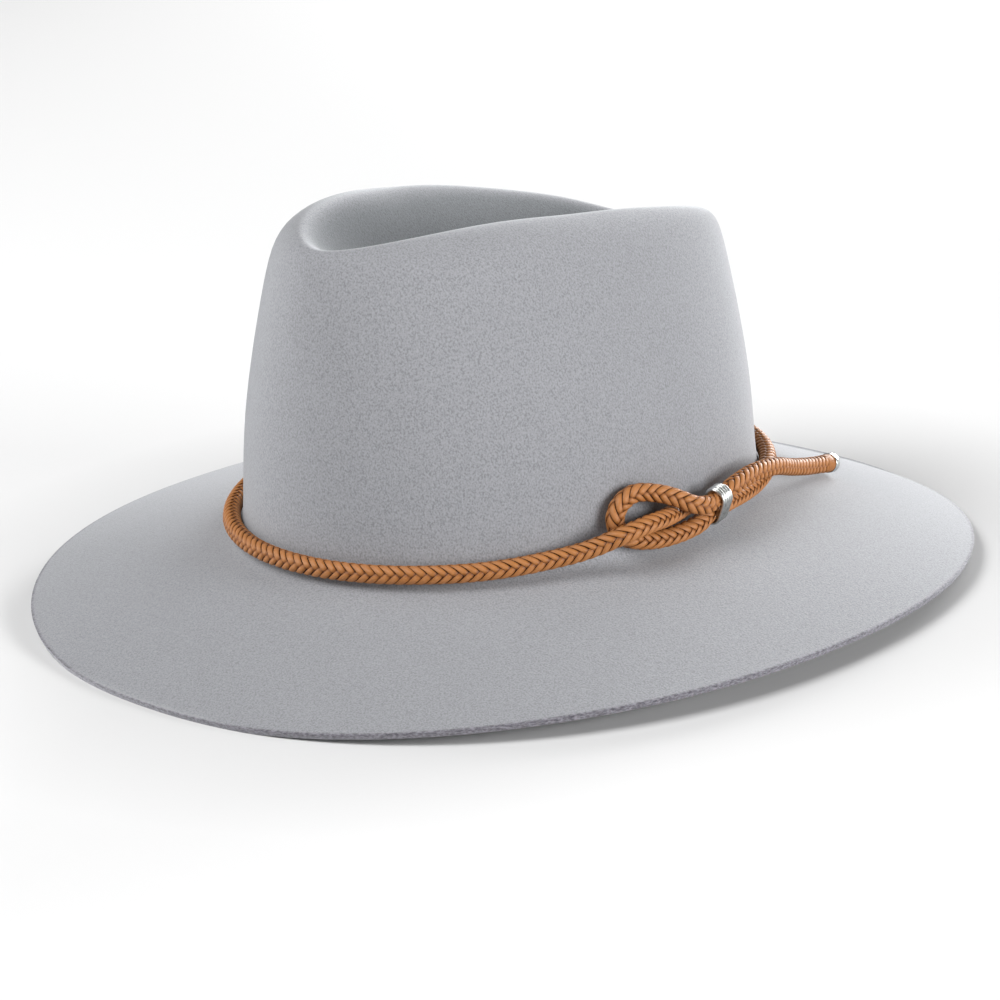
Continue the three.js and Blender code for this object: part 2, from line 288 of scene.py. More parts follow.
@dataclass(frozen=True)
class LeatherFinish:
    """Tan leather, glossy, with painted light and shade: pale on the strands' tops, golden at their sides
    and dark in the gaps and where a strand runs under the others.
    """

    name: str = "leather"
    # Painted light and shade: from the darkest, in the gaps and under the other strands, through the
    # strands' sides and faces to the palest, on their most lit tops.
    gap_shade: tuple = (0.030, 0.009, 0.003)
    side: tuple = (0.17, 0.052, 0.008)
    face: tuple = (0.315, 0.115, 0.022)
    lit_top: tuple = (0.39, 0.160, 0.052)
    patch_size: float = 3.2
    patch_tone: float = 0.35
    crease_size: float = 0.75
    crease_tone: float = 0.18
    grain_size: float = 0.22
    grain_depth: float = 0.07

    def material(self) -> bpy.types.Material:
        """Returns the leather's material."""
        sheet = Sheet(self.name)
        # The number stored as depth is each point's share of light, painted into the colour as light and
        # shade.
        depth = sheet.stored("depth")
        patch = sheet.noise(self.patch_size, 3.0)
        grain = sheet.noise(self.grain_size, 4.0)
        crease = sheet.noise(self.crease_size, 2.0)
        tone = depth + (patch - 0.5) * self.patch_tone + (crease - 0.5) * self.crease_tone
        stops = [(0.18, self.gap_shade), (0.50, self.side), (0.78, self.face), (1.0, self.lit_top)]
        colour = sheet.ramp(tone, stops)
        gloss = 0.42 + patch * 0.16 + grain * 0.16
        normal = sheet.bump(grain * 0.5 + crease * 0.8, self.grain_depth)
        return sheet.surface({"Base Color": colour, "Roughness": gloss, "Specular IOR Level": 0.4,
                              "Coat Weight": 0.05, "Coat Roughness": 0.4, "Normal": normal})


@dataclass(frozen=True)
class SilverFinish:
    """Silver, slightly dulled, with fine marks from handling."""

    name: str
    bright: tuple = (0.74, 0.755, 0.735)
    dull: tuple = (0.36, 0.375, 0.36)
    roughness: float = 0.2
    cloud_size: float = 2.5
    mark_size: float = 0.5
    mark_depth: float = 0.012

    def material(self) -> bpy.types.Material:
        """Returns the silver's material."""
        sheet = Sheet(self.name)
        cloud = sheet.noise(self.cloud_size, 2.0)
        mark = sheet.noise(self.mark_size, 3.0, (1.0, 0.3, 1.0))
        colour = sheet.ramp(cloud * 0.6 + mark * 0.4, [(0.3, self.dull), (0.62, self.bright)])
        normal = sheet.bump(mark, self.mark_depth)
        return sheet.surface({"Base Color": colour, "Metallic": 1.0,
                              "Roughness": self.roughness + mark * 0.12, "Normal": normal})


@dataclass(frozen=True)
class FloorFinish:
    """A pale matt studio floor, of a slightly darker colour under the hat and close round it.

    The darker colour strengthens the hat's soft shadow, and fades out in an oval round the brim.
    """

    colour: tuple = (0.84, 0.84, 0.84)
    shaded: tuple = (0.73, 0.73, 0.73)
    half_size: tuple = (0.162, 0.178)  # the brim's, in metres
    fade: tuple = (1.0, 1.44)  # where the darker colour starts and ends to fade, in half sizes

    def material(self) -> bpy.types.Material:
        """Returns the floor's material."""
        sheet = Sheet("studio_floor")
        stretch = (1 / self.half_size[0], 1 / self.half_size[1], 1.0)
        where = sheet.node("ShaderNodeMapping", {}, {"Vector": sheet.place(), "Scale": stretch})
        reach = sheet.node("ShaderNodeVectorMath", {"operation": "LENGTH"}, {0: where}, "Value")
        start, end = self.fade
        colour = sheet.ramp(reach * 0.5, [(start / 2, self.shaded), (end / 2, self.colour)])
        return sheet.surface({"Base Color": colour, "Roughness": 1.0, "Specular IOR Level": 0.0})


@dataclass(frozen=True)
class Heights:
    """Heights at one angle from the front: the brim's lower edge, the crown's foot, its ridge, the
    floor of its dent, and how much the ridge's crest is broadened inwards."""

    angle: float
    edge: float
    foot: float
    ridge: float
    floor: float
    crest: float
    shoulder_drop: float = 9.7

    @property
    def shoulder(self) -> float:
        """The shoulder follows the ridge."""
        return self.ridge - self.shoulder_drop


@dataclass(frozen=True)
class Plan:
    """An oval: reach to the front, back and sides, fullness of its halves and narrowing in front."""

    front: float
    back: float
    side: float
    full_front: float
    full_back: float
    taper: float = 0.0

    def mixed(self, other: "Plan", share: float) -> "Plan":
        """Returns the plan that lies between this one and another."""
        pairs = zip(vars(self).values(), vars(other).values())
        return Plan(*(a + (b - a) * share for a, b in pairs))

    def points(self, angles: np.ndarray, heights: np.ndarray, grow: float = 0.0) -> np.ndarray:
        """Points on the oval.

        Args:
            angles: Angles from the front, in radians, towards the wearer's left.
            heights: The height at each angle.
            grow: How far out the oval is moved.

        Returns:
            One row of x, y and z for each angle.
        """
        c, s = np.cos(angles), np.sin(angles)
        full = (self.full_front + self.full_back) / 2 + (self.full_front - self.full_back) / 2 * c
        length = (self.front + self.back) / 2 + (self.front - self.back) / 2 * c + grow
        width = (self.side + grow) * (1 - self.taper * c)
        x = width * np.sign(s) * np.abs(s) ** (2 / full)
        y = -length * np.sign(c) * np.abs(c) ** (2 / full)
        return np.stack([x, y, heights], axis=1)


@dataclass(frozen=True)
class Row:
    """A row of the felt: between two plans at a share of the way, and between two heights."""

    start: str
    end: str
    share: float
    low: str
    high: str
    rise: float
    lift: float
    grow: float = 0.0
    crest: float = 0.0


ROUND = (
    Heights(angle=0, edge=0.0, foot=29.8, ridge=140.1, floor=108, crest=0),
    Heights(angle=30, edge=3.1, foot=30.2, ridge=142.9, floor=108, crest=0),
    Heights(angle=60, edge=7.1, foot=31.2, ridge=145.0, floor=107, crest=3.2),
    Heights(angle=90, edge=7.4, foot=32.3, ridge=141.0, floor=106, crest=0),
    Heights(angle=120, edge=5.5, foot=32.8, ridge=132.0, floor=104, crest=0),
    Heights(angle=150, edge=2.2, foot=33.0, ridge=123.3, floor=101, crest=0),
    Heights(angle=180, edge=0.0, foot=33.0, ridge=117.2, floor=99, crest=0),
)
RIDGE_LEAN = 0.7   # how much higher the ridge is on the wearer's left than on the right
RIDGE_TWIST = 1.8  # how much the ridge is lower in front and higher behind, on the left

PLANS = {
    "edge": Plan(front=177.8, back=177.8, side=162.2, full_front=2.16, full_back=2.16),
    "foot": Plan(front=103.5, back=101.5, side=85.5, full_front=2.06, full_back=2.06),
    "shoulder": Plan(front=93.9, back=100.3, side=59.3, full_front=1.97, full_back=2.25, taper=0.04),
    "ridge": Plan(front=87.7, back=89.1, side=45.6, full_front=1.9, full_back=2.73, taper=0.19),
    "slope": Plan(front=70, back=76, side=31, full_front=1.9, full_back=2.6, taper=0.14),
    "hollow": Plan(front=52, back=58, side=21, full_front=2, full_back=2.3, taper=0.1),
    "floor": Plan(front=28, back=32, side=11, full_front=2, full_back=2),
}

ROWS = (
    Row("edge", "foot", 0, "edge", "foot", rise=0, lift=1.9),
    Row("edge", "foot", 0.022, "edge", "foot", rise=0.022, lift=1.8),
    Row("edge", "foot", 0.25, "edge", "foot", rise=0.25, lift=0.9),
    Row("edge", "foot", 0.5, "edge", "foot", rise=0.5, lift=-0.1),
    Row("edge", "foot", 0.75, "edge", "foot", rise=0.75, lift=-1),
    Row("edge", "foot", 0.92, "edge", "foot", rise=0.92, lift=-1.7),
    Row("foot", "foot", 0, "foot", "foot", rise=0, lift=-1.2, grow=1.6),
    Row("foot", "foot", 0, "foot", "foot", rise=0, lift=2),
    Row("foot", "foot", 0, "foot", "foot", rise=0, lift=8, grow=-0.8),
    Row("foot", "shoulder", 0.146, "foot", "shoulder", rise=0.3, lift=4.2),
    Row("foot", "shoulder", 0.384, "foot", "shoulder", rise=0.55, lift=2.7),
    Row("foot", "shoulder", 0.7, "foot", "shoulder", rise=0.8, lift=1.2),
    Row("shoulder", "ridge", 0, "shoulder", "ridge", rise=0, lift=0),
    Row("shoulder", "ridge", 0.42, "shoulder", "ridge", rise=0.62, lift=0),
    Row("shoulder", "ridge", 0.85, "shoulder", "ridge", rise=0.95, lift=0),
    Row("ridge", "slope", 0.12, "ridge", "floor", rise=0, lift=0.2, crest=1),
    Row("ridge", "slope", 0.42, "ridge", "floor", rise=0.1, lift=0, crest=1),
    Row("ridge", "slope", 1, "ridge", "floor", rise=0.4, lift=0),
    Row("hollow", "floor", 0, "ridge", "floor", rise=0.78, lift=0),
    Row("hollow", "floor", 1, "ridge", "floor", rise=0.97, lift=0),
)
DENT_START = next(row for row in ROWS if row.crest)
DENT_MIDDLE = (0.0, 2.0, 105.0)


def around(column: str, angles: np.ndarray) -> np.ndarray:
    """A height at any angle, by the cosine series that passes through the table's rows.

    Args:
        column: The height's name.
        angles: Angles from the front, in radians.

    Returns:
        The height at each angle, in millimetres.
    """
    last = len(ROUND) - 1
    values = np.array([getattr(row, column) for row in ROUND], float)
    halves = np.ones(last + 1)
    halves[[0, last]] = 0.5
    total = np.zeros_like(angles)
    for wave in range(last + 1):
        weight = np.sum(halves * values * np.cos(np.pi * wave * np.arange(last + 1) / last))
        total += 2 * halves[wave] / last * weight * np.cos(wave * angles)
    if column in ("ridge", "shoulder"):
        total += RIDGE_LEAN * np.sin(angles) - RIDGE_TWIST * np.sin(2 * angles)
    return total


def row_points(row: Row, angles: np.ndarray) -> np.ndarray:
    """Points of one row of the felt at the given angles, in millimetres."""
    plan = PLANS[row.start].mixed(PLANS[row.end], row.share)
    low, high = around(row.low, angles), around(row.high, angles)
    points = plan.points(angles, low + (high - low) * row.rise + row.lift, row.grow)
    inwards = row.crest * around("crest", angles)
    points[:, :2] *= (1 - inwards / np.hypot(points[:, 0], points[:, 1]))[:, None]
    return points


def deselect_all() -> None:
    """Leaves object mode with nothing selected."""
    if bpy.context.object and bpy.context.object.mode != "OBJECT":
        bpy.ops.object.mode_set(mode="OBJECT")
    bpy.ops.object.select_all(action="DESELECT")


def add_modifier(piece: bpy.types.Object, kind: str, **settings: Setting) -> None:
    """Adds a modifier with its settings and applies it."""
    modifier = piece.modifiers.new(kind.lower(), kind)
    for key, value in settings.items():
        setattr(modifier, key, value)
    bpy.context.view_layer.objects.active = piece
    bpy.ops.object.modifier_apply(modifier=modifier.name)


def coordinates(mesh: bpy.types.Mesh) -> np.ndarray:
    """Returns a mesh's points as rows of x, y and z."""
    flat = np.empty(len(mesh.vertices) * 3)
    mesh.vertices.foreach_get("co", flat)
    return flat.reshape(-1, 3)


def store(mesh: bpy.types.Mesh, name: str, values: np.ndarray) -> None:
    """Stores one number with each point of a mesh."""
    mesh.attributes.new(name, "FLOAT", "POINT").data.foreach_set("value", values.astype(np.float32))


def join_body(piece: bpy.types.Object, replaced: str | None = None) -> None:
    """Makes a piece ride on the hat and hides the node that it stands for."""
    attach(piece, BODY)
    if replaced:
        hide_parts(replaced)
    LOG.info("%s has %d points", piece.name, len(piece.data.vertices))


@dataclass
class FeltBody:
    """The crown and brim, one piece of felt."""

    thickness: float = 2.0
    segments: int = 96
    levels: int = 2
    edge_round: float = 0.28
    edge_reach: float = 1.1
    edge_fade: float = 0.5
    dent_fade: float = 6.0
    dent_lowest: float = 90.0
    outline_points: int = 2880

    def build(self) -> bpy.types.Object:
        """Returns the dressed felt."""
        piece = self._tube_of_rings()
        self._lay_on_ovals(piece)
        add_modifier(piece, "SUBSURF", levels=self.levels, render_levels=self.levels)
        add_modifier(piece, "SOLIDIFY", thickness=self.thickness * MM, offset=-1.0,
                     use_even_offset=True)
        self._settle(piece)
        add_modifier(piece, "BEVEL", width=self.edge_round * MM, segments=2,
                     angle_limit=math.radians(50))
        self._mark_places(piece)
        piece.data.shade_smooth()
        piece.data.materials.append(FeltFinish().material())
        join_body(piece, "felt_body")
        return piece

    def _tube_of_rings(self) -> bpy.types.Object:
        """Returns a tube of unit rings, one above the other, closed to a point at its top."""
        deselect_all()
        bpy.ops.mesh.primitive_circle_add(vertices=self.segments, radius=1.0)
        piece = bpy.context.object
        piece.name = piece.data.name = "felt_hat"
        bpy.ops.object.mode_set(mode="EDIT")
        for _ in ROWS:
            bpy.ops.mesh.extrude_region_move(TRANSFORM_OT_translate={"value": (0, 0, 1)})
        bpy.ops.mesh.merge(type="CENTER")
        bpy.ops.object.mode_set(mode="OBJECT")
        return piece

    def _lay_on_ovals(self, piece: bpy.types.Object) -> None:
        """Moves each ring of the tube onto its own oval of the hat."""
        points = coordinates(piece.data)
        level = np.rint(points[:, 2]).astype(int)
        angles = np.arctan2(points[:, 0], -points[:, 1])
        for number, row in enumerate(ROWS):
            ring = level == number
            points[ring] = row_points(row, angles[ring])
        points[level == len(ROWS)] = DENT_MIDDLE
        piece.data.vertices.foreach_set("co", (points * MM).ravel())
        piece.data.update()
        if piece.data.polygons[0].normal.z < 0:
            piece.data.flip_normals()

    def _settle(self, piece: bpy.types.Object) -> None:
        """Lowers the hat until its edge is flattened where it rests, at its full thickness.

        The wall's outer points come first in the mesh, and then its inner points in like order.
        """
        points = coordinates(piece.data)
        half = len(points) // 2
        drop = np.minimum(SETTLE * MM, points[half:, 2])
        points[:, 2] -= np.tile(drop, 2)
        piece.data.vertices.foreach_set("co", points.ravel())
        piece.data.update()

    def _mark_places(self, piece: bpy.types.Object) -> None:
        """Stores how near each point is to the raw cut edge, and how far it is into the dent, which sets
        how much shade is painted there.
        """
        points = coordinates(piece.data) / MM
        from_rim = self._depth_inside(points, ROWS[0])
        from_crest = self._depth_inside(points, DENT_START)
        high = points[:, 2] > self.dent_lowest
        store(piece.data, "cut", np.clip((self.edge_reach - from_rim) / self.edge_fade, 0, 1))
        # painted shade: how far a point is into the dent sets how much its colour is darkened
        store(piece.data, "dent", np.clip(from_crest / self.dent_fade, 0, 1) * high)

    def _depth_inside(self, points: np.ndarray, row: Row) -> np.ndarray:
        """Returns how far inside a row's outline each point is, seen from above."""
        outline = row_points(row, np.linspace(-math.pi, math.pi, self.outline_points))
        polar = np.arctan2(outline[:, 0], -outline[:, 1])
        order = np.argsort(polar)
        reach = np.hypot(outline[:, 0], outline[:, 1])[order]
        here = np.arctan2(points[:, 0], -points[:, 1])
        return np.interp(here, polar[order], reach) - np.hypot(points[:, 0], points[:, 1])


@dataclass(frozen=True)
class Station:
    """A point of the cord's route, in millimetres, before the hat settles."""

    x: float
    y: float
    z: float


TAIL_AND_LOOP = (
    Station(64.9, 110.4, 25.6), Station(69.8, 93.5, 29.6), Station(76.0, 75.0, 35.0),
    Station(84.0, 54.4, 41.9), Station(89.2, 35.5, 45.0), Station(92.4, 21.5, 44.7),
    Station(93.6, 12.0, 43.2), Station(95.6, 3.5, 42.9), Station(95.5, -3.6, 45.0),
    Station(92.2, -10.4, 48.9), Station(88.0, -17.2, 51.4), Station(85.4, -24.0, 52.0),
    Station(84.3, -30.0, 48.7), Station(84.6, -32.2, 43.2), Station(86.7, -29.2, 38.0),
    Station(89.7, -20.5, 35.2), Station(91.7, -9.5, 34.6), Station(91.9, 2.0, 35.3),
    Station(91.2, 12.0, 37.6), Station(88.6, 21.8, 37.6), Station(85.0, 34.2, 36.7),
    Station(80.5, 47.3, 36.2), Station(74.9, 59.3, 36.4),
)
BAND_END = (
    Station(79.5, -52.2, 36.0), Station(85.2, -43.4, 38.0), Station(91.2, -35.4, 41.4),
    Station(93.2, -25.4, 42.8), Station(91.5, -14.0, 42.0), Station(89.0, -5.6, 41.4),
    Station(88.0, 0.6, 41.8),
)


@dataclass
class CordRoute:
    """The cord's middle line, from its capped tail through the loop and round the crown."""

    first_angle: float = 137
    last_angle: float = 407
    angle_step: float = 15
    offset: float = 3.65
    height: float = 3.35
    held: tuple[int, int] = (6, 18)
    step: float = 0.4
    fineness: int = 48  # points worked out between two stations, before they are spaced evenly
    seam_lift: float = 12.0

    def __post_init__(self) -> None:
        """Works out the route's stations, its line at even steps and the frames along it."""
        self.stations = self._stations()
        self.line = self._even_line()
        self.length = self.step * (len(self.line) - 1)
        self.along = np.arange(len(self.line)) * self.step
        self.tangent = np.gradient(self.line, axis=0)
        self.tangent /= np.linalg.norm(self.tangent, axis=1)[:, None]
        self.out = self._untwisted()
        self.over = np.cross(self.tangent, self.out)

    def _stations(self) -> np.ndarray:
        """Returns all the points that the cord passes through."""
        degrees = np.arange(self.first_angle, self.last_angle + 1, self.angle_step)
        angles = np.radians(degrees)
        oval = PLANS["foot"].points(angles, around("foot", angles) + self.height, self.offset)
        parts = [[(p.x, p.y, p.z) for p in TAIL_AND_LOOP], oval, [(p.x, p.y, p.z) for p in BAND_END]]
        return np.vstack(parts) - (0, 0, SETTLE)

    def _even_line(self) -> np.ndarray:
        """Returns points at even steps along the centripetal curve through the stations.

        Between two stations it is a cubic that leaves one and reaches the other along tangents
        worked out from the stations on each side.
        """
        p = self.stations
        p = np.vstack([2 * p[0] - p[1], p, 2 * p[-1] - p[-2]])
        gaps = np.sqrt(np.linalg.norm(np.diff(p, axis=0), axis=1))
        u = np.linspace(0, 1, self.fineness, endpoint=False)[:, None]
        dense = []
        for i in range(1, len(p) - 2):
            a, b, c = gaps[i - 1], gaps[i], gaps[i + 1]
            leave = (p[i] - p[i - 1]) / a - (p[i + 1] - p[i - 1]) / (a + b) + (p[i + 1] - p[i]) / b
            reach = (p[i + 1] - p[i]) / b - (p[i + 2] - p[i]) / (b + c) + (p[i + 2] - p[i + 1]) / c
            dense.append((2 * u**3 - 3 * u**2 + 1) * p[i] + (u**3 - 2 * u**2 + u) * leave * b
                         + (3 * u**2 - 2 * u**3) * p[i + 1] + (u**3 - u**2) * reach * b)
        dense = np.vstack(dense + [p[-2][None]])
        run = np.concatenate([[0], np.cumsum(np.linalg.norm(np.diff(dense, axis=0), axis=1))])
        count = int(run[-1] / self.step)
        even = np.arange(count + 1) * self.step
        return np.stack([np.interp(even, run, dense[:, k]) for k in range(3)], axis=1)

    def _untwisted(self) -> np.ndarray:
        """Returns a direction across the cord that turns with it but never twists about it.

        On the front of the band it points out from the crown and somewhat up, so that a seam of
        the braid runs along the middle of what shows.
        """
        front = int(np.argmin(self.line[:, 1]))
        lift = math.radians(self.seam_lift)
        start = np.array([0, -math.cos(lift), math.sin(lift)])
        out = np.zeros_like(self.line)
        out[front] = start - self.tangent[front] * np.dot(start, self.tangent[front])
        out[front] /= np.linalg.norm(out[front])
        for way in (1, -1):
            i = front
            while 0 <= i + way < len(self.line):
                out[i + way] = self._carried(out[i], i, i + way)
                i += way
        return out

    def _carried(self, direction: np.ndarray, here: int, there: int) -> np.ndarray:
        """Carries a direction from one point of the line to the next by two reflections."""
        chord = self.line[there] - self.line[here]
        scale = 2 / np.dot(chord, chord)
        turned = direction - scale * np.dot(chord, direction) * chord
        heading = self.tangent[here] - scale * np.dot(chord, self.tangent[here]) * chord
        change = self.tangent[there] - heading
        square = np.dot(change, change)
        if square > 1e-18:
            turned = turned - 2 / square * np.dot(change, turned) * change
        return turned / np.linalg.norm(turned)

    def places(self, along: np.ndarray, angle: np.ndarray, reach: np.ndarray) -> np.ndarray:
        """Points about the cord.

        Args:
            along: Length along the cord's middle line.
            angle: Angle round the cord, in radians.
            reach: Distance from the middle line.

        Returns:
            The points, with x, y and z last.
        """
        def at(rows: np.ndarray) -> np.ndarray:
            """Returns what the rows along the line are at each length."""
            return np.stack([np.interp(along, self.along, rows[:, k]) for k in range(3)], axis=-1)

        spoke = at(self.out) * np.cos(angle)[..., None] + at(self.over) * np.sin(angle)[..., None]
        return at(self.line) + spoke * reach[..., None]

    def held_lengths(self) -> list[float]:
        """Returns how far along the cord the two places lie that the wire grips."""
        return [float(self.along[np.argmin(np.linalg.norm(self.line - self.stations[i], axis=1))])
                for i in self.held]


class MeshPile:
    """Closed tubes gathered into one mesh, with one stored number for each point."""

    def __init__(self) -> None:
        """Starts with nothing."""
        self.points: list[np.ndarray] = []
        self.faces: list[list[int]] = []
        self.light_shares: list[np.ndarray] = []
        self.count = 0

    def add_tube(self, rings: np.ndarray, light_shares: np.ndarray) -> None:
        """Adds a tube with closed ends, its faces pointing out.

        Args:
            rings: Points by ring, then round the ring.
            light_shares: The stored number of each point.
        """
        number, sides = rings.shape[:2]
        i, k = np.meshgrid(np.arange(number - 1), np.arange(sides), indexing="ij")
        n = (k + 1) % sides
        quads = np.stack([i * sides + k, i * sides + n, (i + 1) * sides + n, (i + 1) * sides + k], -1)
        quads = quads.reshape(-1, 4)
        flat = rings.reshape(-1, 3)
        a, b, c, d = (flat[quads[:, j]] for j in range(4))
        volume = np.sum(np.cross(b - a, c - a) * a) + np.sum(np.cross(c - a, d - a) * a)
        caps = [list(range(sides))[::-1], [(number - 1) * sides + j for j in range(sides)]]
        # Faces that point inwards enclose less than nothing, and are turned round.
        if volume < 0:
            quads = quads[:, ::-1]
            caps = [cap[::-1] for cap in caps]
        self.faces += (quads + self.count).tolist() + [[j + self.count for j in cap] for cap in caps]
        self.points.append(flat)
        self.light_shares.append(light_shares.reshape(-1))
        self.count += len(flat)

    def piece(self, name: str) -> bpy.types.Object:
        """Returns the pile as one smooth object of this name."""
        mesh = bpy.data.meshes.new(name)
        mesh.from_pydata((np.vstack(self.points) * MM).tolist(), [], self.faces)
        # The stored number is each point's share of light, which the leather paints as light and shade.
        store(mesh, "depth", np.concatenate(self.light_shares))
        mesh.shade_smooth()
        piece = bpy.data.objects.new(name, mesh)
        bpy.context.scene.collection.objects.link(piece)
        return piece


@dataclass
class BraidedCord:
    """A round braid of twelve flat leather strands, each over three and under three."""

    route: CordRoute
    radius: float = 3.4
    pitch: float = 21.0
    strands_each_way: int = 6
    strand_width: float = 2.34
    strand_thickness: float = 0.85
    dive: float = 0.40
    dive_steepness: float = 2.6
    seam_share: float = 0.25  # turns the braid so that two strands meet along the front
    under_light: float = 0.45  # how much light a strand gets where it runs under the others
    samples_per_turn: int = 32
    pinch_share: float = 0.833
    pinch_reach: float = 4.5
    sleeve_end: float = 5.5
    core_radius: float = 1.75
    core_step: float = 2.5
    core_sides: int = 8
    uneven: float = 0.06
    uneven_step: float = 6.0
    seed: int = 7

    # A strand's section: share of its width, share of its thickness, and how much light it gets.
    SECTION = ((-0.5, -0.08, 0.05), (-0.40, 0.36, 0.85), (0.0, 0.5, 1.0), (0.40, 0.36, 0.85),
               (0.5, -0.08, 0.05), (0.0, -0.5, 0.0))

    def build(self) -> bpy.types.Object:
        """Returns the dressed braid."""
        pile = MeshPile()
        draw = np.random.default_rng(self.seed)
        for lay in Lay:
            for number in range(self.strands_each_way):
                self._add_strand(pile, lay, number, draw)
        self._add_core(pile)
        piece = pile.piece("braided_cord")
        piece.data.materials.append(LeatherFinish().material())
        join_body(piece, "band_cord")
        return piece

    def _grip(self, along: np.ndarray) -> np.ndarray:
        """Returns how the cord's thickness shrinks where the wire holds it, as a factor."""
        factor = np.ones_like(along)
        for held in self.route.held_lengths():
            reach = np.clip((np.abs(along - held) - self.pinch_reach) / self.pinch_reach, 0, 1)
            ease = reach * reach * (3 - 2 * reach)
            factor = np.minimum(factor, self.pinch_share + (1 - self.pinch_share) * ease)
        return factor

    def _add_strand(self, pile: MeshPile, lay: Lay, number: int, draw: np.random.Generator) -> None:
        """Adds one strand.

        Args:
            pile: The mesh that it is added to.
            lay: The way in which it winds.
            number: Which of those that wind alike it is.
            draw: The source of its small unevenness.
        """
        start, end = self.sleeve_end, self.route.length
        count = int((end - start) / self.pitch * self.samples_per_turn)
        along = np.linspace(start, end, count)
        phase = (number + self.seam_share) * 2 * math.pi / self.strands_each_way
        turn = lay.value * 2 * math.pi * along / self.pitch + phase
        steep = self.dive_steepness
        rise = np.tanh(-steep * lay.value * np.sin(2 * turn)) / math.tanh(steep)
        knots = draw.normal(0, self.uneven, (2, int(end / self.uneven_step) + 2))
        wobble, swell = (np.interp(along, np.arange(k.size) * self.uneven_step, k) for k in knots)
        outside = self.radius - self.strand_thickness / 2
        reach = outside - self.dive + self.dive * rise * (1 + wobble)
        slant = math.atan2(2 * math.pi * outside, self.pitch)
        width = self.strand_width * (1 + swell)
        share, height, light = (np.array(column) for column in zip(*self.SECTION))
        across = width[:, None] * share
        s = along[:, None] - lay.value * across * math.sin(slant)
        s = np.clip(s, start, end)
        theta = turn[:, None] + across * math.cos(slant) / outside
        grip = self._grip(s)
        rings = self.route.places(s, theta, (reach[:, None] + height * self.strand_thickness) * grip)
        # Painted shade where a strand runs under the others, on top of the section's painted light.
        shade = self.under_light + (1 - self.under_light) * np.clip(rise, 0, 1)
        pile.add_tube(rings, light * shade[:, None])

    def _add_core(self, pile: MeshPile) -> None:
        """Adds the core, which fills the cord's middle and takes the darkest painted shade of the gaps.
        """
        along = np.arange(self.sleeve_end, self.route.length, self.core_step)
        angle = np.arange(self.core_sides) * 2 * math.pi / self.core_sides
        s, theta = np.meshgrid(along, angle, indexing="ij")
        reach = np.full_like(s, self.core_radius)
        # painted shade: the core stores no light, so it takes the gaps' darkest colour
        pile.add_tube(self.route.places(s, theta, reach), np.zeros_like(s))


@dataclass
class WireWrap:
    """Close turns of silver wire round both strands at the foot of the loop."""

    route: CordRoute
    turns: int = 5
    pitch: float = 1.3
    wire_radius: float = 0.56
    strand_radius: float = 3.3
    tuck_share: float = 0.12  # the share of a turn over which each end of the wire tucks in
    tuck_depth: float = 1.6  # how far it tucks in, in radii of the wire
    end_margin: float = 0.2
    sides: int = 10
    samples_per_turn: int = 72

    def build(self) -> bpy.types.Object:
        """Returns the dressed wire."""
        middle, axis, across, half = self._seat()
        side = np.cross(axis, across)
        count = self.turns * self.samples_per_turn
        turn = np.linspace(0, self.turns, count)
        radius = self.strand_radius + self.wire_radius
        seen = np.clip(np.minimum(turn, self.turns - turn) / self.tuck_share, 0, 1)
        radius = radius - self.wire_radius * self.tuck_depth * (1 - seen)
        outline = self._outline(turn % 1.0, half, radius)
        highest = self.turns / 2 * self.pitch - self.end_margin
        lift = np.clip((turn - self.turns / 2) * self.pitch, -highest, highest)
        path = middle + outline[:, :1] * across + outline[:, 1:] * side + lift[:, None] * axis
        pile = MeshPile()
        pile.add_tube(self._tube(path, axis), np.ones((count, self.sides)))
        piece = pile.piece("silver_wire_wrap")
        piece.data.materials.append(SilverFinish("silver_wire", roughness=0.24).material())
        join_body(piece, "wire_wrap")
        return piece

    def _seat(self) -> tuple[np.ndarray, np.ndarray, np.ndarray, float]:
        """Returns the wrap's middle, its axis, the direction across it and half its strands' spacing."""
        points = self.route.stations
        upper, lower = self.route.held
        onward = points[upper - 1] - points[upper + 1]
        back = points[lower + 1] - points[lower - 1]
        axis = onward / np.linalg.norm(onward) + back / np.linalg.norm(back)
        axis /= np.linalg.norm(axis)
        between = points[upper] - points[lower]
        between = between - axis * np.dot(between, axis)
        spacing = float(np.linalg.norm(between))
        return (points[upper] + points[lower]) / 2, axis, between / spacing, spacing / 2

    def _outline(self, share: np.ndarray, half: float, radius: np.ndarray) -> np.ndarray:
        """Points on the outline round two strands.

        Args:
            share: How far round each point is, from 0 to 1.
            half: Half the spacing of the strands.
            radius: The outline's distance from a strand's middle at each point.

        Returns:
            One row of the distances across and aside for each point.
        """
        arc = math.pi * float(np.max(radius))
        straight = 2 * half
        corners = np.cumsum([0, arc, straight, arc, straight])
        quarters = np.array([-1, 1, 1, 3, 3])
        run = share * corners[-1]
        angle = np.interp(run, corners, quarters * math.pi / 2)
        shift = np.interp(run, corners, [half, half, -half, -half, half])
        return np.stack([shift + radius * np.cos(angle), radius * np.sin(angle)], axis=1)

    def _tube(self, path: np.ndarray, axis: np.ndarray) -> np.ndarray:
        """Returns the rings of the wire's round section along its path."""
        heading = np.gradient(path, axis=0)
        heading /= np.linalg.norm(heading, axis=1)[:, None]
        up = axis - heading * (heading @ axis)[:, None]
        up /= np.linalg.norm(up, axis=1)[:, None]
        out = np.cross(heading, up)
        angle = np.arange(self.sides) * 2 * math.pi / self.sides
        ring = up[:, None] * np.sin(angle)[:, None] + out[:, None] * np.cos(angle)[:, None]
        return path[:, None] + ring * self.wire_radius


